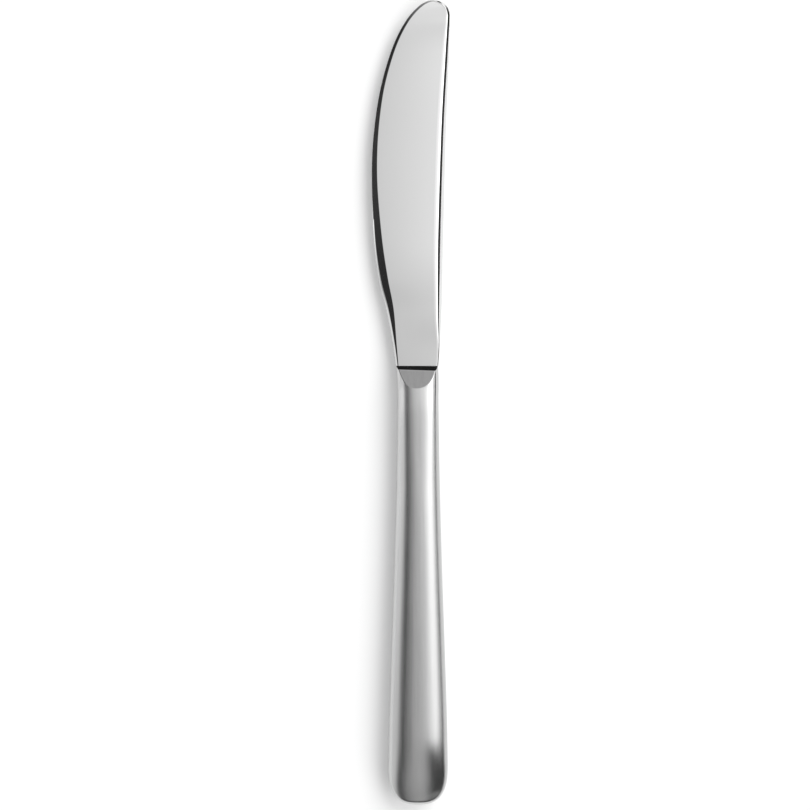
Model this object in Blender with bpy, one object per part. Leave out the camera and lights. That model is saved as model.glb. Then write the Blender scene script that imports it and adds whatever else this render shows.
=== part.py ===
"""Round-tipped table knife with a hollow handle.

A forged blade, its tang included, stands in the neck of a handle that is brazed together from two
pressed steel shells. A solder collar closes the neck, and a cast filler holds the tang inside.

The knife is drawn in its own frame, in millimetres: x runs from the cutting edge to the spine with 0 on
the handle's axis, y runs from the butt to the tip, and z = 0 is the mid-plane. An empty carries all
pieces and lays the knife on the flat land of its back.
"""

from math import atan, cos, pi, radians, sin, sqrt, tan

import bmesh
import bpy
from mathutils import Vector

MM = 0.001
CLEARANCE = 0.3

# Handle
HANDLE_LENGTH = 125.3
NECK_HALF_THICKNESS = 3.8
BUTT_HALF_THICKNESS = 4.65
CROWN_RUN_OUT = 20.0
CROWN_SLOPE = (NECK_HALF_THICKNESS - BUTT_HALF_THICKNESS) / (HANDLE_LENGTH - CROWN_RUN_OUT)
SECTION_POWER = 2.2
SHELL_WALL = 0.9
NOSE_SHIFT = -0.29
NOSE_SHIFT_LENGTH = 7.0

# Half-widths of the handle: (half-width, distance from the butt), from the neck to the widest place.
HANDLE_SIDE = (
    (6.08, 126.8),
    (5.93, 119.0),
    (5.92, 112.0),
    (6.2, 92.7),
    (6.8, 69.9),
    (7.55, 47.0),
    (8.25, 25.0),
    (8.5, 11.5),
)
BUTT_PLAN_POWER = 2.7

# Flat land on the back: how deep it is ground, and (half-width, distance from the butt) at its ends
LAND_DEPTH = 0.2
LAND_BUTT_END = (2.3, 20.0)
LAND_NECK_END = (1.8, 118.0)
LAND_EASE = radians(5)

# Neck: a lip at the mouth, a steep step up from it, then the D-shaped facet
LIP_HEIGHT = 1.35
STEP_LENGTH = 1.06
STEP_HEIGHT = 2.1
FACET_LENGTH = 5.1
MOUTH_HALF_HEIGHT = 1.0

# Blade: (x, y, width of the bevel, half-thickness inside it), up the cutting edge and down the spine
BLADE_OUTLINE = (
    (-6.4, 125.6, 0.8, 1.25),
    (-7.2, 131.3, 1.1, 1.25),
    (-9.0, 141.3, 1.85, 1.22),
    (-11.1, 150.0, 2.4, 1.2),
    (-12.6, 161.3, 2.35, 1.15),
    (-13.3, 176.0, 1.7, 0.95),
    (-13.2, 187.0, 1.5, 0.87),
    (-12.2, 197.5, 1.25, 0.78),
    (-10.4, 207.0, 1.05, 0.7),
    (-7.2, 217.0, 0.95, 0.65),
    (-3.6, 224.1, 0.85, 0.62),
    (0.2, 228.45, 0.8, 0.62),
    (3.7, 230.0, 0.8, 0.65),
    (6.5, 229.55, 0.75, 0.7),
    (8.3, 228.1, 0.75, 0.75),
    (9.06, 224.5, 0.9, 0.85),
    (8.9, 215.0, 1.4, 1.2),
    (8.0, 193.0, 1.9, 1.55),
    (7.14, 161.0, 2.0, 1.65),
    (6.7, 141.0, 1.6, 1.5),
    (6.2, 131.3, 1.1, 1.3),
    (5.8, 125.6, 0.8, 1.25),
)
BLADE_STEPS = 5
EDGE_LAND = 0.25
BEVEL_MIDDLE = 0.5
BEVEL_MIDDLE_RISE = 0.58

# Tang: (depth behind the mouth, half-width); it starts inside the blade, and a waist keys it in the filler
TANG_HALF_THICKNESS = 0.7
TANG_SIDE = ((-2.0, 2.8), (27.0, 2.8), (30.0, 1.7), (33.0, 2.5), (46.9, 2.2), (48.0, 1.1))

# Pieces inside the handle
COLLAR_START = 4.0
COLLAR_END = 7.5
FILLER_START = 8.0
BEAD_RADIUS = 0.3
BEAD_START = 8.5
BEAD_SIDES = 10

# Fineness of the lofts
HALF_SECTION_STEPS = 18
BODY_STATIONS = (122.0, 118.0, 112.0, 104.0, 94.0, 84.0, 74.0, 64.0, 54.0, 44.0, 34.0, 26.0)
BUTT_ANGLES = (0, 14, 27, 39, 50, 60, 69, 77, 84)


def smooth_path(points, steps):
    """Points along a smooth curve through the given ones, Catmull-Rom fashion."""
    knots = [Vector(point) for point in points]
    path = [knots[0]]
    for index in range(len(knots) - 1):
        start, end = knots[index], knots[index + 1]
        before = knots[max(index - 1, 0)]
        after = knots[min(index + 2, len(knots) - 1)]
        path += bezier_points(start, start + (end - before) / 6, end - (after - start) / 6, end, steps)
    return path


def bezier_points(start, handle_out, handle_in, end, steps):
    """The points after the start of one Bezier segment, for vectors of any length."""
    points = []
    for step in range(1, steps + 1):
        t = step / steps
        rest = 1 - t
        points.append(
            start * rest**3
            + handle_out * (3 * rest**2 * t)
            + handle_in * (3 * rest * t**2)
            + end * t**3
        )
    return points


HANDLE_SIDE_PATH = smooth_path(HANDLE_SIDE, 8)


def handle_half_width(y, inset):
    """Half-width of the handle at y, drawn in by an inset; the butt closes on a superellipse."""
    widest, start = HANDLE_SIDE[-1]
    if y <= start:
        share = (start - y) / (start - inset)
        return (widest - inset) * max(0.0, 1 - share**BUTT_PLAN_POWER) ** (1 / BUTT_PLAN_POWER)
    spans = zip(HANDLE_SIDE_PATH, HANDLE_SIDE_PATH[1:])
    upper, lower = next((upper, lower) for upper, lower in spans if lower.y <= y)
    share = (y - lower.y) / (upper.y - lower.y)
    return lower.x + share * (upper.x - lower.x) - inset


def crown_line(y):
    """Half-thickness of the handle at y on its straight taper."""
    return BUTT_HALF_THICKNESS + CROWN_SLOPE * (y - CROWN_RUN_OUT)


def handle_half_thickness(y, inset):
    """Half-thickness of the handle at y, drawn in by an inset; the crown runs out on an ellipse."""
    if y >= CROWN_RUN_OUT:
        return crown_line(y) - inset
    share = (CROWN_RUN_OUT - y) / (CROWN_RUN_OUT - inset)
    return (BUTT_HALF_THICKNESS - inset) * sqrt(max(0.0, 1 - share * share))


def nose_shift(y):
    """Sideways shift of the handle's section, which follows the heel of the blade at the mouth."""
    share = max(0.0, 1 - (HANDLE_LENGTH - y) / NOSE_SHIFT_LENGTH)
    return NOSE_SHIFT * share * share


def section(y, inset, angles):
    """Points of the handle's superellipse section at y, for angles from the spine side upward."""
    half_width = handle_half_width(y, inset)
    half_thickness = handle_half_thickness(y, inset)
    points = []
    for angle in angles:
        c, s = cos(angle), sin(angle)
        x = half_width * abs(c) ** (2 / SECTION_POWER) * (1 if c >= 0 else -1)
        z = half_thickness * abs(s) ** (2 / SECTION_POWER) * (1 if s >= 0 else -1)
        points.append(Vector((x + nose_shift(y), y, z)))
    return points


def stations(inset, front):
    """Places along the handle where it is sectioned, from the front one to the butt."""
    body = [front] + [y for y in BODY_STATIONS if y < front]
    return body + [CROWN_RUN_OUT - (CROWN_RUN_OUT - inset) * sin(radians(angle)) for angle in BUTT_ANGLES]


def loft(rings):
    """A closed body over rings of points, flat at both ends."""
    bm = bmesh.new()
    loops = [[bm.verts.new(point * MM) for point in ring] for ring in rings]
    count = len(loops[0])
    for front, back in zip(loops, loops[1:]):
        for index in range(count):
            following = (index + 1) % count
            bm.faces.new((front[index], front[following], back[following], back[index]))
    bm.faces.new(loops[0])
    bm.faces.new(loops[-1])
    bmesh.ops.recalc_face_normals(bm, faces=bm.faces)
    return bm


def cut_flat(bm, point, normal):
    """Take off what lies beyond a plane, and close the cut with a flat face."""
    geometry = bm.verts[:] + bm.edges[:] + bm.faces[:]
    cut = bmesh.ops.bisect_plane(
        bm, geom=geometry, dist=1e-7, plane_co=point * MM, plane_no=normal, clear_outer=True
    )
    rim = [item for item in cut["geom_cut"] if isinstance(item, bmesh.types.BMEdge)]
    bmesh.ops.edgeloop_fill(bm, edges=rim)
    bmesh.ops.recalc_face_normals(bm, faces=bm.faces)


def line_plane(start, end, side):
    """A plane across the knife through two (y, z) points of its side view, facing away on that side."""
    run, rise = end[0] - start[0], end[1] - start[1]
    normal = Vector((0, -rise, run)).normalized()
    if normal.z < 0:
        normal.negate()
    normal.z *= side
    return Vector((0, start[0], start[1] * side)), normal


def cut_neck(bm, side):
    """Cut the step and the D-shaped facet into the neck, on the upper (1) or lower (-1) side."""
    step_back = HANDLE_LENGTH - STEP_LENGTH
    facet_back = step_back - FACET_LENGTH
    lip = (HANDLE_LENGTH, LIP_HEIGHT)
    step = (step_back, STEP_HEIGHT)
    facet = (facet_back, crown_line(facet_back))
    cut_flat(bm, *line_plane(lip, step, side))
    cut_flat(bm, *line_plane(step, facet, side))


def cut_land(bm):
    """Grind the flat land into the back, and ease its two sides and its butt end."""
    point, down = line_plane(*[(y, crown_line(y) - LAND_DEPTH) for y in (0, HANDLE_LENGTH)], -1)
    cut_flat(bm, point, down)
    half_width, y = LAND_BUTT_END
    narrowing = (half_width - LAND_NECK_END[0]) / (LAND_NECK_END[1] - y)
    for x, outward in ((half_width, (1, narrowing, 0)), (-half_width, (-1, narrowing, 0)), (0, (0, -1, 0))):
        tilted = down + Vector(outward) * tan(LAND_EASE)
        cut_flat(bm, Vector((x, y, LAND_DEPTH - crown_line(y))), tilted.normalized())


def cut_cavity_neck(bm, inset, side):
    """Bring the hollow of the neck down to the mouth, parallel to the facet outside it."""
    facet_back = HANDLE_LENGTH - STEP_LENGTH - FACET_LENGTH
    slope = (crown_line(facet_back) - STEP_HEIGHT) / FACET_LENGTH
    mouth = (HANDLE_LENGTH, MOUTH_HALF_HEIGHT - inset)
    behind = (HANDLE_LENGTH - FACET_LENGTH, MOUTH_HALF_HEIGHT - inset + slope * FACET_LENGTH)
    cut_flat(bm, *line_plane(mouth, behind, side))


def hollow(inset, front):
    """The handle's inner body, drawn in from the shells' inner faces by an inset."""
    angles = [pi * step / HALF_SECTION_STEPS for step in range(2 * HALF_SECTION_STEPS)]
    depth = SHELL_WALL + inset
    bm = loft([section(y, depth, angles) for y in stations(depth, front)])
    for side in (1, -1):
        cut_cavity_neck(bm, inset, side)
    return bm


def tang_body(margin):
    """The tang as a flat bar with a keying waist, grown by a margin all round."""
    thickness = TANG_HALF_THICKNESS + margin
    rings = []
    for depth, half_width in TANG_SIDE:
        width = half_width + margin
        y = HANDLE_LENGTH - depth
        corners = ((width, -thickness), (width, thickness), (-width, thickness), (-width, -thickness))
        rings.append([Vector((x, y, z)) for x, z in corners])
    for corner in rings[-1]:
        corner.y -= margin
    return loft(rings)


def finish(name, bm, carrier, material=None):
    """Turn a body into a named object on the carrier, shaded smooth between its sharp edges."""
    mesh = bpy.data.meshes.new(name)
    bm.to_mesh(mesh)
    bm.free()
    mesh.shade_smooth()
    mesh.set_sharp_from_angle(angle=radians(30))
    thing = bpy.data.objects.new(name, mesh)
    bpy.context.collection.objects.link(thing)
    thing.parent = carrier
    if material is None:
        thing.hide_render = True
        thing.display_type = "WIRE"
    else:
        mesh.materials.append(material)
    return thing


def combine(target, other, operation):
    """Join or cut the target with another body."""
    modifier = target.modifiers.new(other.name, "BOOLEAN")
    modifier.operation = operation
    modifier.solver = "EXACT"
    modifier.object = other


def metal(name, colour, roughness, metallic=1.0):
    """A plain material of one colour."""
    material = bpy.data.materials.new(name)
    material.use_nodes = True
    shader = material.node_tree.nodes["Principled BSDF"]
    shader.inputs["Base Color"].default_value = (*colour, 1.0)
    shader.inputs["Roughness"].default_value = roughness
    shader.inputs["Metallic"].default_value = metallic
    return material


def make_carrier():
    """The empty that lays the knife on its back's flat land, with the middle of its outline over 0, 0."""
    land_at_butt = crown_line(0) - LAND_DEPTH
    sides = [point[0] for point in BLADE_OUTLINE]
    length = max(point[1] for point in BLADE_OUTLINE)
    carrier = bpy.data.objects.new("knife", None)
    bpy.context.collection.objects.link(carrier)
    carrier.rotation_euler.x = atan(CROWN_SLOPE)
    carrier.location = Vector((-(min(sides) + max(sides)) / 2, -length / 2, land_at_butt)) * MM
    return carrier


def make_blade(carrier, material):
    """The forged blade: bevels drawn in from its outline on both faces, with the tang behind its heel."""
    path = smooth_path(BLADE_OUTLINE, BLADE_STEPS)
    rings = []
    for share, rise in ((0, 0), (BEVEL_MIDDLE, BEVEL_MIDDLE_RISE), (1, 1)):
        ring = []
        for index, (x, y, bevel, half_thickness) in enumerate(path):
            before, after = path[max(index - 1, 0)], path[min(index + 1, len(path) - 1)]
            along = Vector((after[0] - before[0], after[1] - before[1])).normalized()
            if index in (0, len(path) - 1):
                along = Vector((0, 1 if index == 0 else -1))
            height = EDGE_LAND + (half_thickness - EDGE_LAND) * rise
            ring.append(Vector((x + along.y * bevel * share, y - along.x * bevel * share, height)))
        rings.append(ring)
    below = [[Vector((p.x, p.y, -p.z)) for p in ring] for ring in reversed(rings)]
    bm = loft(below + rings)
    bmesh.ops.triangulate(bm, faces=[face for face in bm.faces if len(face.verts) > 4])
    blade = finish("blade", bm, carrier, material)
    combine(blade, finish("tang", tang_body(0), carrier), "UNION")


def make_shell(name, side, carrier, material, cavity):
    """One pressed half of the handle; the lower one has the flat land that the knife lies on."""
    angles = [side * pi * step / HALF_SECTION_STEPS for step in range(HALF_SECTION_STEPS + 1)]
    rim = side * CLEARANCE / 2
    rings = []
    for y in stations(0, HANDLE_LENGTH):
        ring = section(y, 0, angles)
        for point in ring:
            point.z = rim + point.z * (1 - abs(rim) / handle_half_thickness(y, 0))
        rings.append(ring)
    bm = loft(rings)
    cut_neck(bm, side)
    if side < 0:
        cut_land(bm)
    shell = finish(name, bm, carrier, material)
    combine(shell, cavity, "DIFFERENCE")


def seam_route(inset, front):
    """The seam's route inside the shells, from the spine side of the neck round the butt and back."""
    depth = SHELL_WALL + inset
    places = [(handle_half_width(y, depth), nose_shift(y), y) for y in stations(depth, front)]
    spine_side = [Vector((shift + width, y, 0)) for width, shift, y in places]
    edge_side = [Vector((shift - width, y, 0)) for width, shift, y in reversed(places)]
    return spine_side + edge_side


def bead(radius, front):
    """A round bead along the seam, clear of the shells by the size of the real bead."""
    route = seam_route(CLEARANCE + BEAD_RADIUS, front)
    rings = []
    for index, spot in enumerate(route):
        along = route[min(index + 1, len(route) - 1)] - route[max(index - 1, 0)]
        across = Vector((along.y, -along.x, 0)).normalized()
        turns = [2 * pi * step / BEAD_SIDES for step in range(BEAD_SIDES)]
        rings.append([spot + radius * (across * cos(turn) + Vector((0, 0, sin(turn)))) for turn in turns])
    return loft(rings)


def make_collar(carrier, material, tang_room):
    """The solder collar that fills the neck round the tang."""
    bm = hollow(CLEARANCE, HANDLE_LENGTH - COLLAR_START)
    cut_flat(bm, Vector((0, HANDLE_LENGTH - COLLAR_END, 0)), Vector((0, -1, 0)))
    collar = finish("neck_solder", bm, carrier, material)
    combine(collar, tang_room, "DIFFERENCE")


def make_filler(carrier, material, tang_room, bead_room):
    """The core cast into the handle round the tang and behind the collar."""
    filler = finish("handle_filler", hollow(CLEARANCE, HANDLE_LENGTH - FILLER_START), carrier, material)
    combine(filler, tang_room, "DIFFERENCE")
    combine(filler, bead_room, "DIFFERENCE")


def main():
    for thing in list(bpy.data.objects):
        bpy.data.objects.remove(thing, do_unlink=True)
    polished = metal("polished_blade_steel", (0.70, 0.70, 0.69), 0.08)
    satin = metal("satin_handle_steel", (0.60, 0.59, 0.57), 0.3)
    silver = metal("silver_braze", (0.78, 0.70, 0.50), 0.4)
    solder = metal("grey_solder", (0.55, 0.55, 0.57), 0.45)
    cement = metal("cast_filler", (0.50, 0.48, 0.44), 0.9, 0.0)
    carrier = make_carrier()
    cavity = finish("handle_cavity", hollow(0, HANDLE_LENGTH + CLEARANCE), carrier)
    tang_room = finish("tang_room", tang_body(CLEARANCE), carrier)
    bead_room = finish("bead_room", bead(BEAD_RADIUS + CLEARANCE, HANDLE_LENGTH - COLLAR_END), carrier)
    make_blade(carrier, polished)
    make_shell("handle_shell_upper", 1, carrier, satin, cavity)
    make_shell("handle_shell_lower", -1, carrier, satin, cavity)
    finish("seam_braze", bead(BEAD_RADIUS, HANDLE_LENGTH - BEAD_START), carrier, silver)
    make_collar(carrier, solder, tang_room)
    make_filler(carrier, cement, tang_room, bead_room)


main()
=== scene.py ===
from math import atan, copysign, pi, radians, sin, sqrt, tan

import bmesh
import bpy
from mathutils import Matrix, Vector


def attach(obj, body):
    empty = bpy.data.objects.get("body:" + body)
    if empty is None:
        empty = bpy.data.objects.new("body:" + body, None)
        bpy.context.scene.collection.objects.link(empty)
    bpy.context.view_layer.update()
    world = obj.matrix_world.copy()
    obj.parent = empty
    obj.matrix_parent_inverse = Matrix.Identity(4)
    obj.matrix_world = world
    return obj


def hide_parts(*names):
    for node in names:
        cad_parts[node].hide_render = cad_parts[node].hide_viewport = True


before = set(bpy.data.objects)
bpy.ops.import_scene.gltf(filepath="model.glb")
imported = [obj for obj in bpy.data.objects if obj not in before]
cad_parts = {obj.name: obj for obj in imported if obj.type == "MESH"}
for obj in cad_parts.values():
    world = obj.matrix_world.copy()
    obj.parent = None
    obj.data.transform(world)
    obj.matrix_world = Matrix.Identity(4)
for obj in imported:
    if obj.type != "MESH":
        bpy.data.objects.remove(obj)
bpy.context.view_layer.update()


# Handle shells
# Two halves pressed from stainless sheet, brazed edge to edge along the mid-plane and brushed lengthwise.
# The neck is ground to a flat facet with a steep step down to the mouth, and the back has a flat land
# that the knife lies on. They are drawn from the butt at y = 0 with the mid-plane at z = 0, then laid down.
MM = 0.001
HANDLE_LENGTH = 125.3
NECK_HALF_THICKNESS = 3.8
BUTT_HALF_THICKNESS = 4.65
CROWN_RUN_OUT = 20.0
CROWN_SLOPE = (NECK_HALF_THICKNESS - BUTT_HALF_THICKNESS) / (HANDLE_LENGTH - CROWN_RUN_OUT)
SECTION_POWER = 2.2
BUTT_PLAN_POWER = 2.7
BUTT_END = 0.11
HANDLE_SIDE = (
    (6.08, 126.8),
    (5.93, 119.0),
    (5.92, 112.0),
    (6.2, 92.7),
    (6.8, 69.9),
    (7.55, 47.0),
    (8.25, 25.0),
    (8.5, 11.5),
)
NOSE_SHIFT = -0.29
NOSE_SHIFT_LENGTH = 7.0
NECK_FALL = 0.12
NECK_FALL_START = 111.0
NECK_POWER = 2.5
NECK_POWER_START = 92
NECK_POWER_RUN = 20
LIP_HEIGHT = 1.1
STEP_BACK = 123.95
STEP_HEIGHT = 2.3
FACET_BACK = 118.85
FACET_ROUNDING = 0.22
FACET_EASE = 0.08
FACET_ROLL = 0.02
FLATNESS = 0.99999
BORDER_MERGE = 0.03
INSET_MERGE = 0.1
STEP_EDGE_LENGTH = 8
STEP_EDGE_REACH = 1
STEP_EDGE_CUTS = 40
NECK_RING = 0.45
NECK_RINGS = 30
BODY_RINGS = 38
BUTT_ANGLES = (*range(4, 85, 4), 86.5, 88.5)
SECTION_VERTICES = 128
LAND_DEPTH = 0.2
LAND_BUTT_END = (2.3, 20.0)
LAND_NECK_END = (1.8, 118.0)
LAND_EASE = radians(5)
HANDLE_PLACE = (2.12, -115.0)
SEAM_GAP = 0.06
SHEET = 0.7
SHELL_SMOOTH = radians(55)
SATIN_GREY = (0.58, 0.58, 0.58)
NECK_POLISH = (0.004, 0.0085)
NECK_SIDE_POLISH = (-0.006, 0.001)
NECK_SIDE_BORDER = (0.0045, 0.0065)


def smooth_line(knots, steps):
    """Points along a smooth line through the knots, from the first knot to the last."""
    knots = [Vector(knot) for knot in knots]
    line = []
    for index in range(len(knots) - 1):
        start, end = knots[index], knots[index + 1]
        before = knots[max(index - 1, 0)]
        after = knots[min(index + 2, len(knots) - 1)]
        for step in range(steps):
            t = step / steps
            bend = before * 2 - start * 5 + end * 4 - after
            twist = start * 3 - before - end * 3 + after
            line.append(start + ((end - before) * t + bend * t**2 + twist * t**3) / 2)
    return line + [knots[-1]]


def handle_half_width(y):
    """Half-width of the handle at y: the drawn side line, then the closing curve of the butt."""
    widest, start = HANDLE_SIDE[-1]
    if y <= start:
        share = (start - y) / (start - BUTT_END)
        return widest * (1 - share**BUTT_PLAN_POWER) ** (1 / BUTT_PLAN_POWER)
    line = smooth_line(HANDLE_SIDE, 24)
    upper, lower = next(pair for pair in zip(line, line[1:]) if pair[1].y <= y)
    return lower.x + (y - lower.y) / (upper.y - lower.y) * (upper.x - lower.x)


def crown_line(y):
    """Half-thickness of the handle on its straight taper."""
    return BUTT_HALF_THICKNESS + CROWN_SLOPE * (y - CROWN_RUN_OUT)


def handle_half_thickness(y):
    """Half-thickness of the handle at y: the taper, easing down to the neck and run out round the butt."""
    if y >= CROWN_RUN_OUT:
        fall = min(1.0, max(0.0, (y - NECK_FALL_START) / (FACET_BACK - NECK_FALL_START)))
        return crown_line(y) - NECK_FALL * fall**2
    return BUTT_HALF_THICKNESS * sqrt(1 - ((CROWN_RUN_OUT - y) / (CROWN_RUN_OUT - BUTT_END)) ** 2)


def nose_shift(y):
    """Sideways shift of the handle's section, which follows the heel of the blade at the mouth."""
    return NOSE_SHIFT * max(0.0, 1 - (HANDLE_LENGTH - y) / NOSE_SHIFT_LENGTH) ** 2


def pick_faces(piece, test):
    """Select only those faces of a piece in edit mode whose middle, in millimetres, and normal pass."""
    bpy.ops.mesh.select_all(action="DESELECT")
    bpy.ops.mesh.select_mode(type="FACE")
    bm = bmesh.from_edit_mesh(piece.data)
    for face in bm.faces:
        face.select_set(test(face.calc_center_median() / MM, face.normal))
    bmesh.update_edit_mesh(piece.data)


def grind(point, normal, fill=True, clear=True):
    """Take off what lies beyond a plane and close the cut flat. Uncleared, it only scores a line."""
    bpy.ops.mesh.select_all(action="SELECT")
    bpy.ops.mesh.bisect(
        plane_co=Vector(point) * MM, plane_no=normal, use_fill=fill, clear_outer=clear, threshold=1e-7
    )


def ease_border(piece, flat):
    """Run a line round just inside a flat, so that the shading turns only along the flat's border."""

    def in_flat(middle, normal):
        return normal.dot(flat) > FLATNESS

    pick_faces(piece, in_flat)
    bpy.ops.mesh.remove_doubles(threshold=BORDER_MERGE * MM)
    pick_faces(piece, in_flat)
    bpy.ops.mesh.inset(thickness=FACET_ROUNDING * MM)
    bpy.ops.mesh.remove_doubles(threshold=INSET_MERGE * MM)


def flat_across(start, end, side, roll=0.0):
    """A point and the outward normal of a flat across the handle through two (y, z) points."""
    across = Vector((0, start[1] - end[1], end[0] - start[0])).normalized()
    if across.z < 0:
        across.negate()
    return Vector((0, start[0], start[1] * side)), Vector((-roll, across.y, across.z * side)).normalized()


def apply_modifier(piece, kind, **settings):
    """Add a modifier with its settings and apply it."""
    modifier = piece.modifiers.new(kind.lower(), kind)
    for name, value in settings.items():
        setattr(modifier, name, value)
    bpy.context.view_layer.objects.active = piece
    bpy.ops.object.modifier_apply(modifier=modifier.name)


def lay_down(piece):
    """Lay a drawn piece on the land of the handle's back, and fix its place in its mesh."""
    piece.rotation_euler.x = atan(CROWN_SLOPE)
    piece.location = Vector((*HANDLE_PLACE, crown_line(0) - LAND_DEPTH)) * MM
    bpy.ops.object.transform_apply(location=True, rotation=True, scale=True)


def press_shell(name, side):
    """Press one half of the handle: the upper one (1), or the lower one with the land (-1)."""
    bpy.ops.object.select_all(action="DESELECT")
    bpy.ops.mesh.primitive_circle_add(vertices=SECTION_VERTICES, radius=1, rotation=(pi / 2, 0, 0))
    shell = bpy.context.object
    shell.name = name
    bpy.ops.object.transform_apply(location=False, rotation=True, scale=False)
    width = handle_half_width(HANDLE_LENGTH)
    thickness = handle_half_thickness(HANDLE_LENGTH)
    for vertex in shell.data.vertices:
        x = copysign(abs(vertex.co.x) ** (2 / SECTION_POWER), vertex.co.x)
        z = copysign(abs(vertex.co.z) ** (2 / SECTION_POWER), vertex.co.z)
        vertex.co = Vector((x * width + NOSE_SHIFT, HANDLE_LENGTH, z * thickness)) * MM
    bpy.ops.object.mode_set(mode="EDIT")
    bpy.ops.mesh.select_mode(type="VERT")
    bpy.ops.mesh.select_all(action="SELECT")
    neck = [HANDLE_LENGTH - NECK_RING * step for step in range(NECK_RINGS)]
    run = CROWN_RUN_OUT - neck[-1]
    body = [neck[-1] + run * step / BODY_RINGS for step in range(1, BODY_RINGS + 1)]
    rounding = [sin(radians(angle)) for angle in BUTT_ANGLES]
    butt = [CROWN_RUN_OUT - (CROWN_RUN_OUT - BUTT_END) * share for share in rounding]
    rings = neck + body + butt
    for y, following in zip(rings, rings[1:]):
        shift = nose_shift(following) - nose_shift(y)
        move = Vector((shift, following - y, 0)) * MM
        bpy.ops.mesh.extrude_region_move(TRANSFORM_OT_translate={"value": move})
        wider = handle_half_width(following) / handle_half_width(y)
        thicker = handle_half_thickness(following) / handle_half_thickness(y)
        centre = Vector((nose_shift(following), following, 0)) * MM
        bpy.ops.transform.resize(value=(wider, 1, thicker), center_override=centre)
    bpy.ops.mesh.merge(type="CENTER")
    bpy.ops.mesh.select_all(action="DESELECT")
    bpy.ops.mesh.select_non_manifold()
    bpy.ops.mesh.edge_face_add()
    bpy.ops.mesh.select_all(action="SELECT")
    bpy.ops.mesh.normals_make_consistent(inside=False)
    bm = bmesh.from_edit_mesh(shell.data)
    for vertex in bm.verts:
        x, y, z = vertex.co / MM
        share = min(1.0, max(0.0, (y - NECK_POWER_START) / NECK_POWER_RUN))
        power = SECTION_POWER + (NECK_POWER - SECTION_POWER) * share
        if share > 0:
            across = min(1.0, abs(x - nose_shift(y)) / handle_half_width(y))
            vertex.co.z = copysign(handle_half_thickness(y) * (1 - across**power) ** (1 / power), z) * MM
    bmesh.update_edit_mesh(shell.data)

    step = flat_across((HANDLE_LENGTH, LIP_HEIGHT), (STEP_BACK, STEP_HEIGHT), side)
    facet_end = (FACET_BACK, handle_half_thickness(FACET_BACK))
    facet = flat_across((STEP_BACK, STEP_HEIGHT), facet_end, side, FACET_ROLL)
    for point, outward in (step, facet):
        grind(point - FACET_EASE * outward, outward, fill=False, clear=False)
        grind(point, outward)
    if side < 0:
        ends = [(y, crown_line(y) - LAND_DEPTH) for y in (0, HANDLE_LENGTH)]
        point, down = flat_across(*ends, side)
        grind(point, down)
        half_width, y = LAND_BUTT_END
        narrowing = (half_width - LAND_NECK_END[0]) / (LAND_NECK_END[1] - y)
        height = LAND_DEPTH - crown_line(y)
        borders = (
            (half_width, (1, narrowing, 0)),
            (-half_width, (-1, narrowing, 0)),
            (0, (0, -1, 0)),
        )
        for x, outward in borders:
            grind((x, y, height), (down + Vector(outward) * tan(LAND_EASE)).normalized())
        ease_border(shell, down)
    bpy.ops.mesh.select_all(action="DESELECT")
    bpy.ops.mesh.select_mode(type="EDGE")
    bm = bmesh.from_edit_mesh(shell.data)
    for edge in bm.edges:
        at_step = all(abs(vertex.co.y / MM - STEP_BACK) < STEP_EDGE_REACH for vertex in edge.verts)
        edge.select_set(at_step and edge.calc_length() > STEP_EDGE_LENGTH * MM)
    bmesh.update_edit_mesh(shell.data)
    bpy.ops.mesh.subdivide(number_cuts=STEP_EDGE_CUTS)
    ease_border(shell, facet[1])
    pick_faces(shell, lambda middle, normal: middle.y > HANDLE_LENGTH - 0.01 and normal.y > 0.99)
    bpy.ops.mesh.delete(type="FACE")
    grind((0, 0, side * SEAM_GAP / 2), (0, 0, -side), fill=False)
    bpy.ops.object.mode_set(mode="OBJECT")
    apply_modifier(shell, "SOLIDIFY", thickness=SHEET * MM, offset=-1)
    lay_down(shell)
    bpy.ops.object.shade_smooth_by_angle(angle=SHELL_SMOOTH)
    return shell


class Wire:
    """A socket in a node tree. Arithmetic on wires adds Math nodes, and node() adds any other node."""

    def __init__(self, tree, socket=None):
        self.tree = tree
        self.socket = socket

    def node(self, kind, settings=None, inputs=None, output=0):
        made = self.tree.nodes.new(kind)
        for name, value in (settings or {}).items():
            if name == "stops":
                ramp = made.color_ramp
                for place, level in value[1:-1]:
                    ramp.elements.new(place).color = (level, level, level, 1)
                for element, (place, level) in ((ramp.elements[0], value[0]), (ramp.elements[-1], value[-1])):
                    element.position = place
                    element.color = (level, level, level, 1)
            else:
                setattr(made, name, value)
        for name, value in (inputs or {}).items():
            if isinstance(value, Wire):
                self.tree.links.new(value.socket, made.inputs[name])
            else:
                made.inputs[name].default_value = value
        return Wire(self.tree, made.outputs[output])

    def other(self, output):
        return Wire(self.tree, self.socket.node.outputs[output])

    def math(self, operation, *values):
        return self.node("ShaderNodeMath", {"operation": operation}, dict(enumerate(values)))

    def __add__(self, value):
        return self.math("ADD", self, value)

    def __radd__(self, value):
        return self.math("ADD", value, self)

    def __sub__(self, value):
        return self.math("SUBTRACT", self, value)

    def __rsub__(self, value):
        return self.math("SUBTRACT", value, self)

    def __mul__(self, value):
        return self.math("MULTIPLY", self, value)

    def __rmul__(self, value):
        return self.math("MULTIPLY", value, self)

    def __truediv__(self, value):
        return self.math("DIVIDE", self, value)


def new_material(name):
    """An empty node material and a wire into its tree."""
    material = bpy.data.materials.new(name)
    material.use_nodes = True
    material.node_tree.nodes.clear()
    return material, Wire(material.node_tree)


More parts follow.
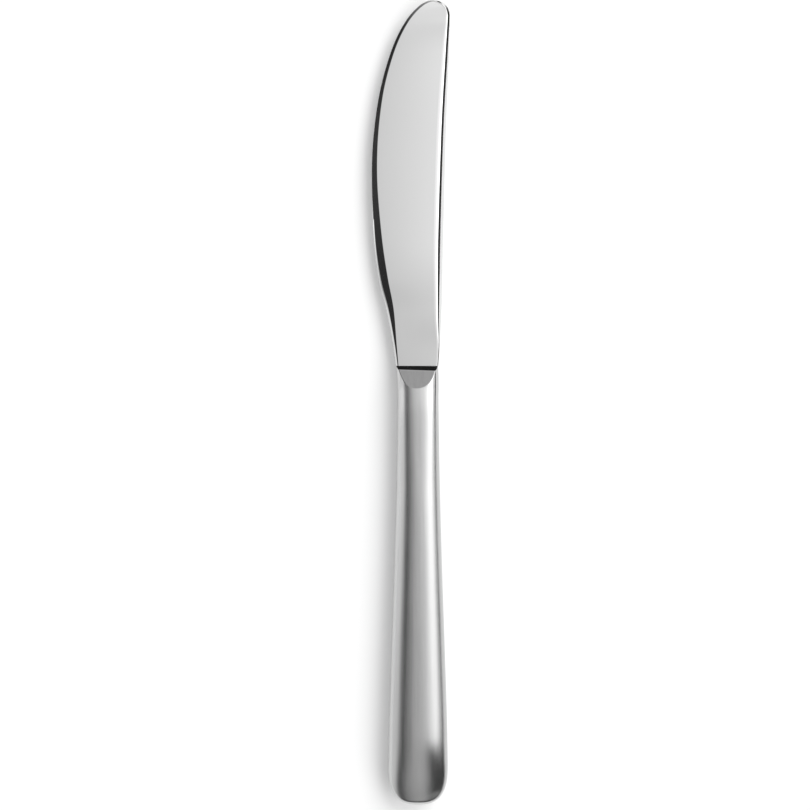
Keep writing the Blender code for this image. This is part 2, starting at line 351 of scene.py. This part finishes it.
def stretched_noise(wires, per_metre, detail):
    """Noise on object coordinates with its own number of grains per metre along x, y and z."""
    place = wires.node("ShaderNodeTexCoord", output="Object")
    scaled = wires.node("ShaderNodeVectorMath", {"operation": "MULTIPLY"}, {0: place, 1: per_metre})
    return wires.node("ShaderNodeTexNoise", {}, {"Vector": scaled, "Scale": 1.0, "Detail": detail}, "Fac")


def fade(value, start, end):
    """A soft step from 0 to 1 while a value goes from start to end."""
    ends = {"Value": value, "From Min": start, "From Max": end}
    return value.node("ShaderNodeMapRange", {"interpolation_type": "SMOOTHSTEP"}, ends)


def surface(wires, shader):
    """Bring a shader to the material's output."""
    output = wires.tree.nodes.new("ShaderNodeOutputMaterial")
    wires.tree.links.new(shader.socket, output.inputs["Surface"])


satin, wires = new_material("satin_brushed_steel")
hairlines = stretched_noise(wires, (7000, 70, 7000), 3)
streaks = stretched_noise(wires, (1300, 14, 1300), 2)
clouds = stretched_noise(wires, (120, 40, 120), 2)
tone = 0.89 + 0.06 * hairlines + 0.14 * streaks + 0.02 * clouds
place = wires.node("ShaderNodeTexCoord", output="Object")
place_x = wires.node("ShaderNodeSeparateXYZ", {}, {"Vector": place}, "X")
place_y = place_x.other("Y")
neck = fade(place_y, *NECK_POLISH)
neck_side = fade(place_y, *NECK_SIDE_POLISH) * fade(place_x, *NECK_SIDE_BORDER)
neck = wires.math("MAXIMUM", neck, neck_side)
grey = wires.node("ShaderNodeVectorMath", {"operation": "SCALE"}, {"Vector": SATIN_GREY, "Scale": tone})
waves = wires.node("ShaderNodeBump", {}, {"Height": clouds, "Strength": 0.5, "Distance": 0.00012})
scratch = wires.node(
    "ShaderNodeBump",
    {},
    {"Height": hairlines + 0.6 * streaks, "Strength": 0.12, "Distance": 0.00002, "Normal": waves},
)
brushed = wires.node(
    "ShaderNodeBsdfPrincipled",
    {},
    {
        "Base Color": grey,
        "Metallic": 1.0,
        "Roughness": (0.16 + 0.08 * hairlines + 0.05 * streaks) * (1 - 0.7 * neck),
        "Anisotropic": 0.75,
        "Normal": scratch,
    },
)
surface(wires, brushed)

for name, side, node in (
    ("shell_upper", 1, "handle_shell_upper"),
    ("shell_lower", -1, "handle_shell_lower"),
):
    shell = press_shell(name, side)
    shell.data.materials.append(satin)
    # The texture space turns the grain of the brushing lengthwise.
    shell.data.use_auto_texspace = False
    shell.data.texspace_location = (0, 1.0, 0)
    shell.data.texspace_size = (100.0, 1.0, 100.0)
    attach(shell, "root")
    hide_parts(node)


# Seam braze
# A bead of silver braze run along the inside of the seam between the shells.
# It is closed in by the shells, cast rough, with flux stains.
silver, wires = new_material("silver_braze")
stains = stretched_noise(wires, (900, 900, 900), 4)
braze_colour = wires.node(
    "ShaderNodeMix",
    {"data_type": "RGBA"},
    {"Factor": stains, "A": (0.80, 0.72, 0.52, 1), "B": (0.55, 0.47, 0.33, 1)},
    2,
)
surface(
    wires,
    wires.node(
        "ShaderNodeBsdfPrincipled",
        {},
        {"Base Color": braze_colour, "Metallic": 1.0, "Roughness": 0.3 + 0.3 * stains},
    ),
)
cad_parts["seam_braze"].material_slots[0].material = silver


# Neck solder
# A collar of soft grey solder that closes the mouth of the handle round the tang.
# It is cast in place, dull, with a frosted grain.
solder, wires = new_material("grey_solder")
frost = stretched_noise(wires, (2200, 2200, 2200), 3)
solder_colour = wires.node(
    "ShaderNodeMix",
    {"data_type": "RGBA"},
    {"Factor": frost, "A": (0.46, 0.46, 0.48, 1), "B": (0.64, 0.64, 0.66, 1)},
    2,
)
surface(
    wires,
    wires.node(
        "ShaderNodeBsdfPrincipled",
        {},
        {"Base Color": solder_colour, "Metallic": 1.0, "Roughness": 0.35 + 0.25 * frost},
    ),
)
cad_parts["neck_solder"].material_slots[0].material = solder


# Handle filler
# A core of cement cast into the hollow of the handle, which grips the tang and gives the handle weight.
# It is pale grey-brown and grainy.
cement, wires = new_material("cast_cement")
sand = stretched_noise(wires, (1600, 1600, 1600), 5)
cement_colour = wires.node(
    "ShaderNodeMix",
    {"data_type": "RGBA"},
    {"Factor": sand, "A": (0.40, 0.38, 0.34, 1), "B": (0.60, 0.58, 0.53, 1)},
    2,
)
grain = wires.node("ShaderNodeBump", {}, {"Height": sand, "Strength": 0.4, "Distance": 0.0002})
surface(
    wires,
    wires.node(
        "ShaderNodeBsdfPrincipled",
        {},
        {"Base Color": cement_colour, "Roughness": 0.8 + 0.15 * sand, "Normal": grain},
    ),
)
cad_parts["handle_filler"].material_slots[0].material = cement


# Blade
# One forging of stainless steel with its tang, ground thinner towards the cutting edge and mirror polished.
# The cutting edge has a ground bevel, the spine is rounded off, and the tang runs back into the handle.
# Each knot of the two sides is x, y, the width of the bevel or rounding, and the half-thickness inside it.
BLADE_HEEL = 125.34
CUTTING_SIDE = (
    (-6.4, BLADE_HEEL, 0.8, 0.9),
    (-7.2, 131.3, 1.1, 0.92),
    (-9.0, 141.3, 2.05, 0.95),
    (-11.1, 150.0, 2.5, 0.96),
    (-12.6, 161.3, 2.35, 0.92),
    (-13.22, 176.0, 1.68, 0.82),
    (-13.1, 187.0, 1.48, 0.76),
    (-12.05, 197.5, 1.25, 0.68),
    (-10.25, 207.0, 1.05, 0.62),
    (-7.15, 217.0, 0.95, 0.58),
    (-3.54, 224.06, 0.84, 0.56),
    (0.28, 228.36, 0.72, 0.56),
    (3.7, 230.0, 0.55, 0.58),
)
SPINE_SIDE = (
    (5.8, BLADE_HEEL, 0.45, 1.24),
    (6.2, 131.3, 0.5, 1.3),
    (6.7, 141.0, 1.6, 1.44),
    (7.14, 161.0, 2.14, 1.65),
    (8.0, 193.0, 2.02, 1.56),
    (8.9, 215.0, 1.56, 1.15),
    (9.058, 224.0, 0.95, 0.79),
    (9.025, 226.4, 0.9, 0.7),
    (8.25, 228.4, 0.92, 0.63),
    (6.6, 229.55, 0.75, 0.6),
    (3.7, 230.0, 0.55, 0.58),
)
BEVEL_RISE = 0.29
RIM_RANGE = (0.08, 0.55)
RIM_WIDTH = 0.29
RIM_PLACE = 161
RIM_GROWTH = 0.0165
EDGE_ROUNDING = ((0.0, 0.0), (0.15, 0.45), (1.0, 1.0))
BEVEL_SHARES = (0.1, 0.4, 0.75, 0.96, 1.0)
SPINE_SHOULDER = (0.68, 0.08)
SPINE_CHAMFER = (0.24, 0.68)
SPINE_CHAMFER_PLACE = 153
SPINE_CHAMFER_GROWTH = 0.022
SPINE_CHAMFER_RISE = tan(radians(41))
FACE_SHARES = (0.006, 0.03, 0.09, 0.17, 0.26, 0.35, 0.44, 0.53, 0.62, 0.71, 0.8, 0.89, 0.96)
BLADE_ROWS = 140
ROW_SPACING = 1.5
OUTLINE_STEPS = 30
FACE_CROWN = 0.07
FACE_CROWN_WIDTH = 15
FACE_CROWN_START = 95
FACE_CROWN_RUN = 50
TIP_BLEND = 4.5
POLISH_GREY = (0.78, 0.78, 0.78)


def spine_rounding(width, top, y):
    """The rounding of the spine from its outer edge to the face: a chamfer with eased borders."""
    least, most = SPINE_CHAMFER
    chamfer = min(most, max(least, most - SPINE_CHAMFER_GROWTH * (SPINE_CHAMFER_PLACE - y)))
    inner = Vector((SPINE_SHOULDER[0] * width, top - SPINE_SHOULDER[1] * width))
    slope = Vector((1, SPINE_CHAMFER_RISE)) * min(chamfer, 0.96 * inner.x)
    outer = inner - slope
    face = Vector((width, top))
    return [
        Vector((0, 0)),
        Vector((0.03 * outer.x, 0.06 * outer.y)),
        outer,
        outer + 0.1 * slope,
        inner - 0.1 * slope,
        inner,
        Vector((inner.x + 0.4 * (face.x - inner.x), inner.y + 0.6 * (face.y - inner.y))),
        face,
    ]


def side_points(line, count, spacing):
    """Points of a side from the heel to the tip, closing up towards the tip, each with its direction."""
    lengths = [0.0]
    for start, end in zip(line, line[1:]):
        lengths.append(lengths[-1] + (end.xy - start.xy).length)
    points = []
    index = 0
    for row in range(count + 1):
        place = lengths[-1] * (1 - (1 - row / count) ** spacing)
        while index < len(line) - 2 and lengths[index + 1] < place:
            index += 1
        share = (place - lengths[index]) / (lengths[index + 1] - lengths[index])
        points.append(line[index].lerp(line[index + 1], share))
    along = []
    for row in range(count + 1):
        before, after = points[max(row - 1, 0)], points[min(row + 1, count)]
        along.append((after.xy - before.xy).normalized())
    along[0] = Vector((0, 1))
    return points, along


outline = CUTTING_SIDE + SPINE_SIDE[-2::-1]
whole = smooth_line(outline, OUTLINE_STEPS)
tip = OUTLINE_STEPS * (len(CUTTING_SIDE) - 1)
cutting, cutting_along = side_points(whole[: tip + 1], BLADE_ROWS, ROW_SPACING)
spine, spine_along = side_points(whole[tip:][::-1], BLADE_ROWS, ROW_SPACING)
cutting_along[-1] = Vector((1, 0))
spine_along[-1] = Vector((-1, 0))

columns = 2 * (len(EDGE_ROUNDING) + len(BEVEL_SHARES)) + len(FACE_SHARES) - 1
bpy.ops.object.select_all(action="DESELECT")
bpy.ops.mesh.primitive_grid_add(x_subdivisions=columns, y_subdivisions=BLADE_ROWS, size=2)
blade = bpy.context.object
blade.name = "polished_blade"
tip_section = None
for row in range(BLADE_ROWS, -1, -1):
    width, height = cutting[row][2:]
    rim = min(RIM_RANGE[1], max(RIM_RANGE[0], RIM_WIDTH + RIM_GROWTH * (RIM_PLACE - cutting[row].y)))
    foot = height - BEVEL_RISE * (width - rim)
    bevel = [(rim * inset, foot * rise) for inset, rise in EDGE_ROUNDING]
    start, low = bevel[-1]
    bevel += [(start + (width - start) * share, low + (height - low) * share) for share in BEVEL_SHARES]
    tip_section = tip_section or bevel
    width, top = spine[row][2:]
    closing = max(0.0, 1 - (spine[row].xy - spine[-1].xy).length / TIP_BLEND) ** 2
    rounding = spine_rounding(width, top, spine[row].y)
    rounding = [own.lerp(Vector(end), closing) for own, end in zip(rounding, tip_section)]
    top = rounding[-1].y
    inward = Vector((cutting_along[row].y, -cutting_along[row].x))
    profile = [(cutting[row].xy + inward * inset, z) for inset, z in bevel]
    inward = Vector((-spine_along[row].y, spine_along[row].x))
    rounding = [(spine[row].xy + inward * inset, z) for inset, z in rounding]
    left, right = profile[-1][0], rounding[-1][0]
    crown = FACE_CROWN * min(1.0, (right - left).length / FACE_CROWN_WIDTH) ** 2
    crown *= min(1.0, max(0.0, (left.y - FACE_CROWN_START) / FACE_CROWN_RUN))
    for share in FACE_SHARES:
        z = height + (top - height) * share + 4 * crown * share * (1 - share)
        profile.append((left.lerp(right, share), z))
    profile += reversed(rounding)
    for column, (spot, z) in enumerate(profile):
        blade.data.vertices[row * (columns + 1) + column].co = Vector((spot.x, spot.y, z)) * MM
apply_modifier(blade, "MIRROR", use_axis=(False, False, True), merge_threshold=1e-6)

TANG = ((27.0, 2.8), (30.0, 1.7), (33.0, 2.5), (46.9, 2.2), (48.0, 1.1))
TANG_HALF_WIDTH = 2.8
TANG_HALF_THICKNESS = 0.7
HEEL_HALF_WIDTH = 5.8
HEEL_HALF_THICKNESS = 0.93
HEEL_INSET = 0.3
BLADE_SMOOTH = radians(32)
bpy.ops.object.mode_set(mode="EDIT")
bpy.ops.mesh.select_all(action="SELECT")
bpy.ops.mesh.remove_doubles(threshold=1e-6)
bpy.ops.mesh.select_all(action="DESELECT")
bpy.ops.mesh.select_mode(type="EDGE")
bpy.ops.mesh.select_non_manifold()
bpy.ops.mesh.edge_face_add()
bpy.ops.mesh.select_all(action="SELECT")
bpy.ops.mesh.normals_make_consistent(inside=False)
pick_faces(blade, lambda middle, normal: normal.y < -0.99 and middle.y < BLADE_HEEL + 0.01)
bpy.ops.mesh.inset(thickness=HEEL_INSET * MM)
heel = Vector((0, BLADE_HEEL, 0)) * MM
narrower = TANG_HALF_WIDTH / HEEL_HALF_WIDTH
thinner = TANG_HALF_THICKNESS / HEEL_HALF_THICKNESS
bpy.ops.transform.resize(value=(narrower, 1, thinner), center_override=heel)
depth, half_width = 0.0, TANG_HALF_WIDTH
for next_depth, next_half_width in TANG:
    move = Vector((0, depth - next_depth, 0)) * MM
    bpy.ops.mesh.extrude_region_move(TRANSFORM_OT_translate={"value": move})
    centre = heel - Vector((0, next_depth, 0)) * MM
    bpy.ops.transform.resize(value=(next_half_width / half_width, 1, 1), center_override=centre)
    depth, half_width = next_depth, next_half_width
bpy.ops.object.mode_set(mode="OBJECT")
lay_down(blade)
bpy.ops.object.shade_smooth_by_angle(angle=BLADE_SMOOTH)

mirror, wires = new_material("polished_steel")
polish_lines = stretched_noise(wires, (400, 9000, 400), 2)
haze = stretched_noise(wires, (160, 90, 160), 3)
polish_tone = 0.985 + 0.02 * polish_lines + 0.01 * haze
polish_grey = wires.node(
    "ShaderNodeVectorMath", {"operation": "SCALE"}, {"Vector": POLISH_GREY, "Scale": polish_tone}
)
swirl = wires.node("ShaderNodeBump", {}, {"Height": polish_lines, "Strength": 0.02, "Distance": 0.00001})
surface(
    wires,
    wires.node(
        "ShaderNodeBsdfPrincipled",
        {},
        {
            "Base Color": polish_grey,
            "Metallic": 1.0,
            "Roughness": 0.06 + 0.03 * polish_lines + 0.03 * haze,
            "Normal": swirl,
        },
    ),
)
blade.data.materials.append(mirror)
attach(blade, "root")
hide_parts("blade")


# Table
# A plain white table top that the knife lies on. It shows white to the camera and to the polished metal,
# and it keeps the soft shadow beside the knife.
bpy.ops.object.select_all(action="DESELECT")
bpy.ops.mesh.primitive_plane_add(size=4)
table = bpy.context.object
table.name = "table_top"
paper, wires = new_material("white_table")
matt = wires.node("ShaderNodeBsdfDiffuse", {}, {"Color": (0.85, 0.85, 0.85, 1)})
glow = wires.node("ShaderNodeEmission", {}, {"Color": (1, 1, 1, 1), "Strength": 1.0})
surface(wires, wires.node("ShaderNodeMixShader", {}, {"Fac": 0.25, 1: matt, 2: glow}))
table.data.materials.append(paper)


# Studio light
# A tent of soft panels: grey overhead, a soft box by the spine, a dark gap and a pale card by the edge. The
# dark room shows past the butt end of the box and under the tent's hem. Two broad lamps give the shadow.
# Each level is degrees of lean from the zenith, towards the spine or the tip, and brightness.
ACROSS = (
    (-90, 1.0),
    (-54, 1.0),
    (-44, 0.35),
    (-38, 0.03),
    (-28, 0.03),
    (-22, 0.25),
    (-10, 0.5),
    (0, 0.75),
    (20, 1.0),
    (32, 2.0),
    (53, 2.0),
    (60, 0.85),
    (90, 0.75),
)
ALONG = (
    (-90, 0.7),
    (-48, 0.75),
    (-25, 0.9),
    (-8, 0.82),
    (0, 0.92),
    (4, 1.4),
    (12, 1.4),
    (24, 0.8),
    (36, 0.75),
    (44, 0.9),
    (90, 0.9),
)
BOX_SIDE = (5, 22)
BOX_END = (-8, -14)
DARK_END = (-52, -42)
HEM_TOP = (75, 79)
HEM_FOOT = (90, 88)
HEM_END = (-45, -25)
HEM_DARKNESS = 0.97
ROOM_DARKNESS = 0.8
STRIP_DARKNESS = 0.16
BRIGHTEST = 2
LAMPS = (("soft_box_head", 50, 1.8), ("soft_box_foot", -36, 1.4))
LAMP_TILT = radians(52)
LAMP_SPREAD = radians(45)
world = bpy.context.scene.world or bpy.data.worlds.new("studio")
bpy.context.scene.world = world
world.use_nodes = True
world.node_tree.nodes.clear()
wires = Wire(world.node_tree)
direction = wires.node("ShaderNodeTexCoord", output="Generated")
unit = wires.node("ShaderNodeVectorMath", {"operation": "NORMALIZE"}, {0: direction})
toward_x = wires.node("ShaderNodeSeparateXYZ", {}, {"Vector": unit}, "X")
toward_y = toward_x.other("Y")
lean = wires.math("ARCCOSINE", toward_x.other("Z")) * (180 / pi)
flat = wires.math("SQRT", toward_x * toward_x + toward_y * toward_y + 1e-6)
lean_x = lean * toward_x / flat
lean_y = lean * toward_y / flat


def panels(lean_angle, levels):
    """Brightness along one lean from the zenith, from a list of (degrees, level)."""
    stops = [((degrees + 90) / 180, level / BRIGHTEST) for degrees, level in levels]
    ramp = wires.node("ShaderNodeValToRGB", {"stops": stops}, {"Fac": (lean_angle + 90) / 180})
    return ramp * BRIGHTEST


room = ROOM_DARKNESS + STRIP_DARKNESS * fade(lean_y, *DARK_END)
beyond_box = fade(lean_x, *BOX_SIDE) * fade(lean_y, *BOX_END) * room
hem = fade(lean, *HEM_TOP) * fade(lean, *HEM_FOOT) * fade(lean_x, *HEM_END)
tent = panels(lean_x, ACROSS) * panels(lean_y, ALONG) * (1 - beyond_box) * (1 - HEM_DARKNESS * hem)
ray = wires.node("ShaderNodeLightPath", output="Is Camera Ray")
brightness = tent + ray * (1 - tent)
sky = wires.node("ShaderNodeBackground", {}, {"Color": (1, 1, 1, 1), "Strength": brightness})
world_output = world.node_tree.nodes.new("ShaderNodeOutputWorld")
world.node_tree.links.new(sky.socket, world_output.inputs["Surface"])

for name, turn, energy in LAMPS:
    bpy.ops.object.light_add(type="SUN", rotation=(0, LAMP_TILT, radians(turn)))
    box_light = bpy.context.object
    box_light.name = name
    box_light.data.energy = energy
    box_light.data.angle = LAMP_SPREAD
    box_light.visible_glossy = False
bpy.context.scene.view_settings.view_transform = "Standard"


# Camera
# It looks straight down from above the middle of the knife through a long lens, tip upwards.
CAMERA_PLACE = (-0.00159, -0.00086, 0.6469)
bpy.ops.object.camera_add(location=CAMERA_PLACE, rotation=(0, 0, 0))
camera = bpy.context.object
camera.name = "camera_above"
camera.data.lens = 100
camera.data.clip_start = 0.01
camera.data.clip_end = 100
bpy.context.scene.camera = camera
